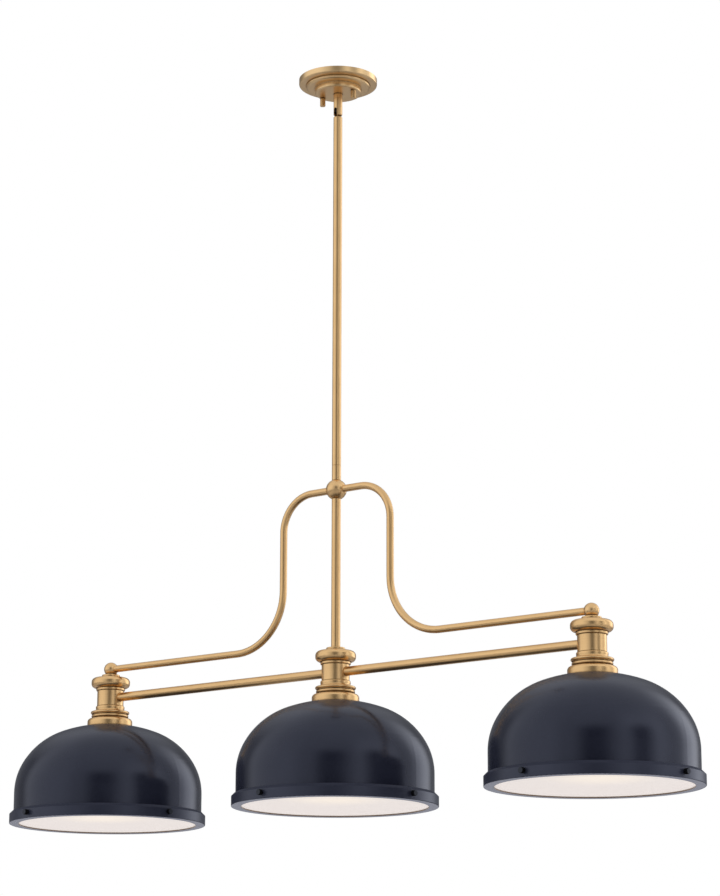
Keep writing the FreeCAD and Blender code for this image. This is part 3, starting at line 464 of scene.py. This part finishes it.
@dataclass(frozen=True)
class FrostedLens:
    """Frosted acrylic lens, lit from behind and warmest where the bulb shows through it."""

    centre: Triple
    radius: float
    body: Triple = (0.60, 0.555, 0.515)
    core: Triple = (1.0, 0.87, 0.70)
    edge: Triple = (0.78, 0.70, 0.645)
    glow: float = 0.57
    core_share: float = 0.62
    core_shift: Triple = (0.060, -0.080, 0.0)
    roughness: float = 0.46
    grit_per_metre: float = 900.0
    grit_roughness: float = 0.12
    grit_depth: float = 0.012 * MM
    haze_per_metre: float = 26.0
    haze_contrast: float = 0.4
    haze_share: float = 0.2

    def build(self, bench: ShaderBench) -> None:
        """Make the material.

        Args:
            bench: The bench to make it on.
        """
        point = bench.point(self.centre)
        # Painted glow: the emission stands in for the bulb's light through the lens, warmest at a core set
        # off the centre by core_shift.
        share = bench.radius(bench.minus(point, self.core_shift)) / (self.radius * self.core_share)
        fall = 1.0 - ((1.0 - share * share).clamped() ** 2.0)
        grit = bench.noise(point, self.grit_per_metre, detail=2.0, rough=0.6)
        haze = bench.noise(point, self.haze_per_metre, rough=0.5)
        bench.finish(
            Base_Color=bench.mix(haze.swing(self.haze_contrast) + self.haze_share, self.body, self.edge),
            Roughness=self.roughness + grit.swing(self.grit_roughness),
            Emission_Color=bench.mix(fall, self.core, self.edge),
            Emission_Strength=self.glow,
            Normal=bench.bump(grit, self.grit_depth),
        )


@dataclass(frozen=True)
class OpalGlass:
    """Opal bulb glass, softly lit."""

    centre: Triple
    body: Triple = (0.90, 0.88, 0.84)
    pale: Triple = (1.0, 0.94, 0.84)
    warm: Triple = (1.0, 0.90, 0.77)
    glow: float = 0.55
    roughness: float = 0.22
    haze_per_metre: float = 60.0
    haze_roughness: float = 0.1

    def build(self, bench: ShaderBench) -> None:
        """Make the material.

        Args:
            bench: The bench to make it on.
        """
        haze = bench.noise(bench.point(self.centre), self.haze_per_metre, rough=0.5)
        bench.finish(
            Base_Color=(*self.body, 1.0),
            Roughness=self.roughness + haze * self.haze_roughness,
            Emission_Color=bench.mix(haze, self.pale, self.warm),
            Emission_Strength=self.glow,
        )


@dataclass(frozen=True)
class Metal:
    """Plain metal with fine scratches and a little staining."""

    light: Triple
    dark: Triple
    roughness: float
    scratches_per_metre: float = 600.0
    scratch_contrast: float = 0.6
    scratch_roughness: float = 0.16
    scratch_depth: float = 0.01 * MM
    stains_per_metre: float = 90.0
    stain_from: float = 0.35
    stain_contrast: float = 2.0

    def build(self, bench: ShaderBench) -> None:
        """Make the material.

        Args:
            bench: The bench to make it on.
        """
        point = bench.point(ORIGIN)
        stains = bench.noise(point, self.stains_per_metre, detail=4.0, rough=0.6)
        scratches = bench.noise(point, self.scratches_per_metre, rough=0.6)
        stains = (stains - self.stain_from) * self.stain_contrast
        tone = (stains + scratches.swing(self.scratch_contrast)).clamped()
        bench.finish(
            Base_Color=bench.mix(tone, self.dark, self.light),
            Metallic=1.0,
            Roughness=self.roughness + scratches.swing(self.scratch_roughness),
            Normal=bench.bump(scratches, self.scratch_depth),
        )


@dataclass(frozen=True)
class Coating:
    """A moulded or painted surface that isn't metal, with a fine texture."""

    light: Triple
    dark: Triple
    roughness: float
    grain_per_metre: float = 500.0
    grain_contrast: float = 0.5
    grain_roughness: float = 0.14
    grain_depth: float = 0.015 * MM
    clouds_per_metre: float = 70.0
    cloud_from: float = 0.3
    cloud_contrast: float = 1.6

    def build(self, bench: ShaderBench) -> None:
        """Make the material.

        Args:
            bench: The bench to make it on.
        """
        point = bench.point(ORIGIN)
        clouds = bench.noise(point, self.clouds_per_metre, detail=4.0, rough=0.6)
        grain = bench.noise(point, self.grain_per_metre, rough=0.6)
        clouds = (clouds - self.cloud_from) * self.cloud_contrast
        tone = (clouds + grain.swing(self.grain_contrast)).clamped()
        bench.finish(
            Base_Color=bench.mix(tone, self.dark, self.light),
            Roughness=self.roughness + grain.swing(self.grain_roughness),
            Normal=bench.bump(grain, self.grain_depth),
        )


@dataclass(frozen=True)
class ThumbscrewBlack:
    """Black fluted sides, and an end face painted lighter, in the ring's colour, as painted light for the
    light it catches.
    """

    centre: Triple
    side: Triple = (0.0035, 0.0035, 0.004)
    # Painted light: the end face is painted lighter than the black sides.
    face: Triple = (0.020, 0.023, 0.031)
    face_from: float = 0.9
    roughness: float = 0.38
    reflection: float = 0.25
    grain_per_metre: float = 1400.0
    grain_roughness: float = 0.14
    grain_depth: float = 0.01 * MM

    def build(self, bench: ShaderBench) -> None:
        """Make the material.

        Args:
            bench: The bench to make it on.
        """
        point = bench.point(self.centre)
        level = bench.vector(bench.axis(point, "X"), bench.axis(point, "Y"), 0.0)
        outwards = bench.node("ShaderNodeVectorMath", {"operation": "NORMALIZE"}, {0: level})
        on_lit_face = bench.dot(bench.facing(), outwards) > self.face_from
        grain = bench.noise(point, self.grain_per_metre, rough=0.6)
        bench.finish(
            Base_Color=bench.mix(on_lit_face, self.side, self.face),
            Roughness=self.roughness + grain.swing(self.grain_roughness),
            Specular_IOR_Level=self.reflection,
            Normal=bench.bump(grain, self.grain_depth),
        )


Finish = Union[BrushedBrass, CharcoalPaint, FrostedLens, OpalGlass, Metal, Coating, ThumbscrewBlack]

DARK_METAL = Metal((0.060, 0.045, 0.032), (0.020, 0.016, 0.013), 0.42)
ZINC = Metal((0.66, 0.66, 0.64), (0.40, 0.41, 0.42), 0.34)
ALUMINIUM = Metal((0.78, 0.78, 0.77), (0.55, 0.55, 0.56), 0.28, 900.0)
GREEN_SCREW = Metal((0.10, 0.36, 0.14), (0.05, 0.20, 0.08), 0.38)
PORCELAIN = Coating((0.80, 0.77, 0.71), (0.66, 0.62, 0.55), 0.30)
LEAD = Coating((0.045, 0.045, 0.047), (0.020, 0.020, 0.022), 0.55)


class Paintbox:
    """The materials, each made once for its finish."""

    def __init__(self) -> None:
        """Start empty."""
        self.made: dict[Finish, bpy.types.Material] = {}

    def of(self, finish: Finish) -> bpy.types.Material:
        """Give the material of a finish.

        Args:
            finish: The finish.

        Returns:
            Its material.
        """
        if finish not in self.made:
            bench, made = ShaderBench.material(f"{type(finish).__name__}_{len(self.made)}")
            finish.build(bench)
            self.made[finish] = made
        return self.made[finish]

    def dress(self, item: bpy.types.Object, finish: Finish) -> None:
        """Give an object its finish in every material slot.

        Args:
            item: The object.
            finish: The finish.
        """
        material = self.of(finish)
        if not item.data.materials:
            item.data.materials.append(material)
        for slot in item.material_slots:
            slot.material = material

    def dress_node(self, node: str, finish: Finish) -> None:
        """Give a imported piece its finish.

        Args:
            node: The piece's name.
            finish: The finish.
        """
        self.dress(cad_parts[node], finish)
        LOG.info("%s: %s", node, type(finish).__name__)


# Modelling


@dataclass(frozen=True)
class Lathe:
    """Turned pieces made from a ring of points by extruding and scaling it, as on a lathe."""

    sides: int = 96
    smooth_below: float = 35.0
    merge_below: float = 1e-7

    def turn(self, name: str, centre: Vector, profile: Profile) -> bpy.types.Object:
        """Turn a closed piece.

        Args:
            name: The piece's name.
            centre: Where the profile's heights are counted from.
            profile: Radius and height of each ring. The first and last rings are closed with a face.

        Returns:
            The piece.
        """
        bpy.ops.object.select_all(action="DESELECT")
        radius, height = profile[0]
        place = centre + Vector((0.0, 0.0, height))
        bpy.ops.mesh.primitive_circle_add(
            vertices=self.sides, radius=radius, fill_type="NGON", location=place
        )
        item = bpy.context.object
        item.name = name
        item.data.name = name
        bpy.ops.object.mode_set(mode="EDIT")
        bpy.ops.mesh.select_all(action="SELECT")
        for next_radius, next_height in profile[1:]:
            rise = (0.0, 0.0, next_height - height)
            bpy.ops.mesh.extrude_region_move(TRANSFORM_OT_translate={"value": rise})
            ratio = next_radius / radius
            if not math.isclose(ratio, 1.0):
                level = centre + Vector((0.0, 0.0, next_height))
                bpy.ops.transform.resize(value=(ratio, ratio, 1.0), center_override=level)
            radius, height = next_radius, next_height
        bpy.ops.mesh.select_all(action="SELECT")
        bpy.ops.mesh.remove_doubles(threshold=self.merge_below)
        bpy.ops.mesh.normals_make_consistent(inside=False)
        bpy.ops.object.mode_set(mode="OBJECT")
        self.settle(item)
        return item

    def settle(self, item: bpy.types.Object) -> None:
        """Put a finished piece's place into its mesh and shade it smooth.

        Args:
            item: The piece.
        """
        bpy.ops.object.select_all(action="DESELECT")
        item.select_set(True)
        bpy.context.view_layer.objects.active = item
        bpy.ops.object.transform_apply(location=True, rotation=True, scale=True)
        bpy.ops.object.shade_smooth_by_angle(angle=math.radians(self.smooth_below))


def arc(centre: tuple[float, float], radius: float, start: float, finish: float, steps: int) -> Profile:
    """Give points of radius and height along an arc.

    Args:
        centre: Radius and height of the arc's centre.
        radius: The arc's radius.
        start: Its first angle in degrees, from level.
        finish: Its last angle.
        steps: The number of stretches.

    Returns:
        The points.
    """
    turns = (math.radians(start + (finish - start) * step / steps) for step in range(steps + 1))
    return [(centre[0] + radius * math.cos(turn), centre[1] + radius * math.sin(turn)) for turn in turns]


def middle(node: str) -> Triple:
    """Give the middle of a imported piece's box."""
    low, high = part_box(node)
    return tuple((low + high) / 2)


def foot(node: str) -> Triple:
    """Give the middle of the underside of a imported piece's box."""
    low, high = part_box(node)
    return ((low.x + high.x) / 2, (low.y + high.y) / 2, low.z)


def half_width(node: str) -> float:
    """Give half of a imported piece's width along the bar."""
    low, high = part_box(node)
    return (high.x - low.x) / 2


# Sub-assemblies


@dataclass
class CeilingSide:
    """Canopy, crossbar, studs, barrel nuts, swivel and ground screw.

    The ground screw's shape goes from its flange up over its six sides into its recess, with each ring as
    shares of the head's radius and height.
    """

    paints: Paintbox
    # Painted light: the canopy's brass is a lighter copy of the brass elsewhere, for the light it catches.
    canopy_lit_light: Triple = (1.0, 0.70, 0.35)
    canopy_lit_dark: Triple = (0.80, 0.51, 0.23)
    screw_radius: float = 4.2 * MM
    screw_height: float = 2.4 * MM
    screw_offset: float = 22.0 * MM
    screw_shape: tuple[tuple[float, float], ...] = (
        (1.25, 0.0),
        (1.25, 0.3),
        (1.0, 0.32),
        (1.0, 0.8),
        (0.86, 1.0),
        (0.5, 1.0),
        (0.5, 0.7),
        (0.02, 0.7),
    )

    def build(self) -> None:
        """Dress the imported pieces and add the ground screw."""
        lit_canopy_brass = BrushedBrass(Grain.TURNED, light=self.canopy_lit_light, dark=self.canopy_lit_dark)
        self.paints.dress_node("canopy", lit_canopy_brass)
        for node in ("swivel_collar", "swivel_socket", "swivel_stem"):
            self.paints.dress_node(node, BrushedBrass(Grain.TURNED))
        # The swivel ball is dark metal, so that the slot in the socket shows black.
        self.paints.dress_node("swivel_ball", DARK_METAL)
        for side in ("left", "right"):
            node = f"canopy_nut_{side}"
            self.paints.dress_node(node, BrushedBrass(Grain.TURNED, middle(node)))
        for node in ("mounting_crossbar", "canopy_studs", "stud_lock_nuts"):
            self.paints.dress_node(node, ZINC)
        for node in ("swivel_nipple", "nipple_lock_nut"):
            self.paints.dress_node(node, ZINC)
        self.ground_screw()

    def ground_screw(self) -> None:
        """Model the green ground screw on the crossbar's underside."""
        low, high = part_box("mounting_crossbar")
        place = Vector((self.screw_offset, 0.0, low.z))
        profile = [(self.screw_radius * wide, -self.screw_height * down) for wide, down in self.screw_shape]
        screw = Lathe(sides=6).turn("ground_screw", place, profile)
        self.paints.dress(screw, GREEN_SCREW)
        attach(screw, "root")
        LOG.info("ground_screw modelled")


@dataclass
class CentreFrame:
    """Rods, hub, bowed arms, end balls and straight bars, with the leads and nipples inside them."""

    paints: Paintbox

    def build(self) -> None:
        """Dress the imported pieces."""
        for node in ("long_rod", "rod_coupling", "drop_rod"):
            self.paints.dress_node(node, BrushedBrass(Grain.ALONG_Z))
        self.paints.dress_node("hub_ball", BrushedBrass(Grain.TURNED, middle("hub_ball")))
        for side in ("left", "right"):
            self.paints.dress_node(f"arm_{side}", BrushedBrass(Grain.ALONG_BEND))
            self.paints.dress_node(f"bar_{side}", BrushedBrass(Grain.ALONG_X))
            ball = f"end_ball_{side}"
            self.paints.dress_node(ball, BrushedBrass(Grain.TURNED, middle(ball)))
        self.paints.dress_node("wiring", LEAD)
        self.paints.dress_node("lampholder_nipples", ZINC)


@dataclass
class Column:
    """Cap, tubular body and beaded fitter over one shade."""

    paints: Paintbox
    place: Place

    def build(self) -> None:
        """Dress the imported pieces, each brushed round its own axis."""
        for part in ("column_cap", "column_body", "shade_fitter"):
            node = f"{part}_{self.place.value}"
            self.paints.dress_node(node, BrushedBrass(Grain.TURNED, foot(node)))


@dataclass
class ShadeHead:
    """Shade, lens ring, lens, thumbscrews, lampholder and bulb.

    The bulb's tip gives the rings of its insulator and contact, as radius and height.
    """

    paints: Paintbox
    place: Place
    screws: int = 4
    lip: float = 17.2 * MM
    # Painted light: the ring's paint is a lighter copy of the shade's paint, for the light its band
    # catches.
    ring_lit_dark: Triple = (0.019, 0.021, 0.034)
    ring_lit_light: Triple = (0.028, 0.030, 0.046)
    base_share: float = 0.24
    globe_from: float = -88.0
    globe_to: float = 28.0
    globe_steps: int = 22
    neck_radius: float = 12.2 * MM
    neck_power: float = 2.1
    neck_steps: tuple[float, ...] = (0.12, 0.24, 0.36, 0.5, 0.64, 0.8, 1.0)
    seal_radius: float = 12.3 * MM
    seal_height: float = 0.5 * MM
    base_radius: float = 12.9 * MM
    base_collar: float = 3.0 * MM
    base_end: float = 3.6 * MM
    thread_pitch: float = 3.4 * MM
    thread_depth: float = 0.5 * MM
    thread_end: float = 6.0 * MM
    groove_share: float = 0.35
    crest_share: float = 0.8
    tip: tuple[tuple[float, float], ...] = (
        (9.5 * MM, -2.6 * MM),
        (4.8 * MM, -1.2 * MM),
        (4.4 * MM, -0.3 * MM),
        (1.0 * MM, 0.0),
    )

    def node(self, part: str) -> str:
        """Give the name of one of this shade's pieces."""
        return f"{part}_{self.place.value}"

    def build(self) -> None:
        """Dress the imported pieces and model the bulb."""
        inside = foot(self.node("shade"))
        self.paints.dress_node(self.node("shade"), CharcoalPaint(inside))
        opening = half_width(self.node("lens_ring")) - self.lip
        ring_paint = CharcoalPaint(inside, dark=self.ring_lit_dark, light=self.ring_lit_light, opening=opening)
        self.paints.dress_node(self.node("lens_ring"), ring_paint)
        self.paints.dress_node(self.node("lens"), FrostedLens(inside, half_width(self.node("lens"))))
        self.paints.dress_node(self.node("lampholder"), PORCELAIN)
        for number in range(1, self.screws + 1):
            self.paints.dress_node(f"{self.node('thumbscrew')}_{number}", ThumbscrewBlack(inside))
        self.bulb()

    def bulb(self) -> None:
        """Model the bulb in place of its plain solid: an opal globe on a threaded base."""
        node = self.node("bulb")
        low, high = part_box(node)
        axis = Vector(((low.x + high.x) / 2, (low.y + high.y) / 2, high.z))
        length = high.z - low.z
        base = length * self.base_share
        body = f"bulb_{self.place.value}"
        profile = self.glass_profile(half_width(node), length, base)
        glass = Lathe().turn(self.node("bulb_glass"), axis, profile)
        self.paints.dress(glass, OpalGlass(tuple(axis)))
        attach(glass, body)
        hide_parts(node)
        cap = Lathe().turn(self.node("bulb_base"), axis, self.base_profile(base))
        self.paints.dress(cap, ALUMINIUM)
        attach(cap, body)
        LOG.info("%s modelled: glass and base", node)

    def glass_profile(self, globe: float, length: float, base: float) -> Profile:
        """Give the glass's profile.

        Args:
            globe: The globe's radius.
            length: The bulb's length.
            base: The base's length.

        Returns:
            Radius and height of each ring, from the globe's foot up.
        """
        rounds = arc((0.0, -(length - globe)), globe, self.globe_from, self.globe_to, self.globe_steps)
        shoulder, start = rounds[-1]
        rise = -base - start
        wider = shoulder - self.neck_radius
        neck = [
            (self.neck_radius + wider * (1.0 - share) ** self.neck_power, start + rise * share)
            for share in self.neck_steps
        ]
        return [*rounds, *neck]

    def base_profile(self, base: float) -> Profile:
        """Give the threaded base's profile.

        Args:
            base: The base's length.

        Returns:
            Radius and height of each ring, from the glass up.
        """
        outer, groove = self.base_radius, self.base_radius - self.thread_depth
        turn = -base + self.base_collar
        profile = [(self.seal_radius, -base - self.seal_height), (outer, -base), (outer, turn)]
        while turn < -self.thread_end:
            profile.append((groove, turn + self.thread_pitch * self.groove_share))
            profile.append((outer, turn + self.thread_pitch * self.crest_share))
            turn += self.thread_pitch
        return [*profile, (groove, -self.base_end), *self.tip]


# Studio


@dataclass(frozen=True)
class SoftLight:
    """One upright soft box, which lights the pendant but isn't seen itself."""

    name: str
    place: Triple
    aim: Triple
    width: float
    height: float
    watts: float

    def build(self) -> None:
        """Add the light and turn it to its aim."""
        data = bpy.data.lights.new(self.name, "AREA")
        data.shape = "RECTANGLE"
        data.size = self.width
        data.size_y = self.height
        data.energy = self.watts
        item = bpy.data.objects.new(self.name, data)
        bpy.context.scene.collection.objects.link(item)
        item.location = self.place
        towards = Vector(self.aim) - Vector(self.place)
        item.rotation_euler = towards.to_track_quat("-Z", "Y").to_euler()
        item.visible_camera = False
        item.visible_glossy = False


@dataclass(frozen=True)
class Panel:
    """A stretch of the room's wall, as polished surfaces mirror it. Heading 0 is towards the camera."""

    heading: float
    half_width: float
    brightness: float
    edge_steepness: float = 4.0

    def share(self, bench: ShaderBench, heading: Signal) -> Signal:
        """Give how far a heading lies within the panel, with soft edges.

        Args:
            bench: The bench of the world; not used.
            heading: The heading in radians.

        Returns:
            1 inside, 0 outside.
        """
        within = math.radians(self.half_width) - (heading - math.radians(self.heading)).size()
        return (within * self.edge_steepness + 0.5).clamped()


@dataclass
class Studio:
    """Pale floor, soft lights, white background and the camera at the photograph's angle.

    Polished surfaces mirror a dim room with brighter walls, two black cards towards the camera and a bright
    top, and a floor that is painted dark under the pendant, a painted shade.
    """

    floor_height: float = -2.30
    floor_size: float = 30.0
    floor_light: Triple = (0.90, 0.90, 0.90)
    floor_dark: Triple = (0.86, 0.86, 0.86)
    floor_painted_shade: Triple = (0.06, 0.06, 0.065)
    floor_away: Triple = (0.62, 0.62, 0.65)
    under_reach: float = 0.6
    under_steepness: float = 0.85
    speckles_per_metre: float = 30.0
    camera_place: Triple = (2.7728, -3.6601, -1.8131)
    camera_yaw: float = 36.63
    camera_pitch: float = 13.73
    camera_roll: float = 0.0021
    camera_sees: tuple[float, float] = (0.05, 100.0)
    focal_pixels: float = 2678.3
    picture_height: int = 896
    sensor: float = 36.0
    daylight: Triple = (0.94, 0.97, 1.06)
    room_soft: float = 0.50
    room_back: float = 0.20
    room_top: float = 0.80
    top_from: float = 0.45
    top_steepness: float = 2.6
    walls: tuple[Panel, ...] = (
        Panel(10.0, 106.0, 0.68),
        Panel(-80.0, 36.0, 0.93),
        Panel(54.0, 26.0, 1.22),
        Panel(124.0, 15.0, 1.85),
    )
    cards: tuple[Panel, ...] = (Panel(-3.0, 16.0, 0.0), Panel(48.0, 12.0, 0.0))
    cards_foot: float = -0.05
    cards_foot_steepness: float = 8.0
    cards_head: float = 0.54
    cards_head_steepness: float = 6.0
    lights: tuple[SoftLight, ...] = (
        SoftLight("left", (-2.4, -3.2, 1.2), (0.0, 0.0, -0.9), 3.2, 3.8, 66.0),
        SoftLight("right", (4.1, -0.9, 0.2), (0.0, 0.0, -0.9), 1.1, 3.8, 22.0),
        SoftLight("far_right", (3.3, 2.6, -0.2), (0.2, 0.0, -0.9), 2.0, 3.4, 44.0),
        SoftLight("back", (-2.6, 2.6, 0.4), (0.0, 0.0, -0.9), 1.6, 2.6, 20.0),
    )

    def build(self) -> None:
        """Set up everything that isn't the pendant."""
        self.world()
        self.floor()
        for light in self.lights:
            light.build()
        self.camera()
        bpy.context.scene.view_settings.view_transform = "Standard"

    def world(self) -> None:
        """Show a white background, light the pendant softly from all round and mirror the room."""
        world = bpy.data.worlds.new("studio")
        bpy.context.scene.world = world
        world.use_nodes = True
        bench = ShaderBench(world.node_tree)
        away = bench.node("ShaderNodeTexCoord", {}, {}, "Generated")
        mirrored = self.mirrored_room(bench, away)
        glossy = bench.ray("Is Glossy Ray")
        strength = glossy * mirrored + (1.0 - glossy) * self.room_soft
        shown = bench.ray("Is Camera Ray").math("MAXIMUM", bench.ray("Is Transmission Ray"))
        strength = strength * (1.0 - shown) + shown
        colour = bench.mix(shown, self.daylight, WHITE)
        light = bench.node("ShaderNodeBackground", {}, {"Color": colour, "Strength": strength})
        bench.node("ShaderNodeOutputWorld", {}, {"Surface": light})

    def mirrored_room(self, bench: ShaderBench, away: Signal) -> Signal:
        """Give the room's brightness as polished surfaces mirror it.

        Args:
            bench: The bench of the world.
            away: The way that a ray leaves.

        Returns:
            The brightness.
        """
        yaw = math.radians(self.camera_yaw)
        front = bench.dot(away, (math.sin(yaw), -math.cos(yaw), 0.0))
        across = bench.dot(away, (math.cos(yaw), math.sin(yaw), 0.0))
        heading = across.math("ARCTAN2", front)
        rise = bench.axis(away, "Z")
        mirrored: Value = self.room_back
        for panel in self.walls:
            share = panel.share(bench, heading)
            mirrored = (1.0 - share) * mirrored + share * panel.brightness
        band = rise.rising(self.cards_foot, self.cards_foot_steepness)
        band = band * rise.falling(self.cards_head, self.cards_head_steepness)
        for card in self.cards:
            share = card.share(bench, heading) * band
            mirrored = mirrored * (1.0 - share) + share * card.brightness
        top = rise.rising(self.top_from, self.top_steepness)
        return mirrored * (1.0 - top) + top * self.room_top

    def floor(self) -> None:
        """Lay a pale floor that keeps the pendant's shadow and isn't seen from below."""
        bpy.ops.object.select_all(action="DESELECT")
        bpy.ops.mesh.primitive_plane_add(size=self.floor_size, location=(0.0, 0.0, self.floor_height))
        floor = bpy.context.object
        floor.name = "floor"
        bench, pale_floor = ShaderBench.material("pale_floor")
        point = bench.point(ORIGIN)
        speckle = bench.noise(point, self.speckles_per_metre)
        seen = bench.mix(speckle, self.floor_dark, self.floor_light)
        # Painted shade: in glossy rays the floor is painted dark under the pendant and lighter further
        # away.
        away = bench.radius(point).rising(self.under_reach, self.under_steepness)
        mirrored = bench.mix(away, self.floor_painted_shade, self.floor_away)
        colour = bench.mix(bench.ray("Is Glossy Ray"), seen, mirrored)
        pale = bench.node("ShaderNodeBsdfDiffuse", {}, {"Color": colour})
        clear = bench.node("ShaderNodeBsdfTransparent", {}, {})
        below = bench.node("ShaderNodeNewGeometry", {}, {}, "Backfacing")
        surface = bench.node("ShaderNodeMixShader", {}, {0: below, 1: pale, 2: clear})
        bench.node("ShaderNodeOutputMaterial", {}, {"Surface": surface})
        floor.data.materials.append(pale_floor)

    def camera(self) -> None:
        """Place the camera where the photograph was taken from."""
        data = bpy.data.cameras.new("camera")
        data.sensor_width = self.sensor
        data.lens = self.focal_pixels * self.sensor / self.picture_height
        data.clip_start, data.clip_end = self.camera_sees
        camera = bpy.data.objects.new("camera", data)
        bpy.context.scene.collection.objects.link(camera)
        bpy.context.scene.camera = camera
        yaw, pitch = math.radians(self.camera_yaw), math.radians(self.camera_pitch)
        level = math.cos(pitch)
        forward = Vector((-math.sin(yaw) * level, math.cos(yaw) * level, math.sin(pitch)))
        right = Vector((math.cos(yaw), math.sin(yaw), 0.0))
        up = right.cross(forward)
        across = right * math.cos(self.camera_roll) + up * math.sin(self.camera_roll)
        upwards = up * math.cos(self.camera_roll) - right * math.sin(self.camera_roll)
        turn = Matrix((across, upwards, -forward)).transposed().to_4x4()
        camera.matrix_world = Matrix.Translation(self.camera_place) @ turn


@dataclass
class Pendant:
    """The whole light."""

    paints: Paintbox = field(default_factory=Paintbox)

    def build(self) -> None:
        """Dress and model every sub-assembly in order."""
        CeilingSide(self.paints).build()
        CentreFrame(self.paints).build()
        for place in Place:
            Column(self.paints, place).build()
            ShadeHead(self.paints, place).build()


def main() -> None:
    """Build the pendant and its studio."""
    logging.basicConfig(level=logging.INFO, format="%(name)s: %(message)s")
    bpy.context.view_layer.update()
    Pendant().build()
    Studio().build()


if __name__ == "__main__":
    main()
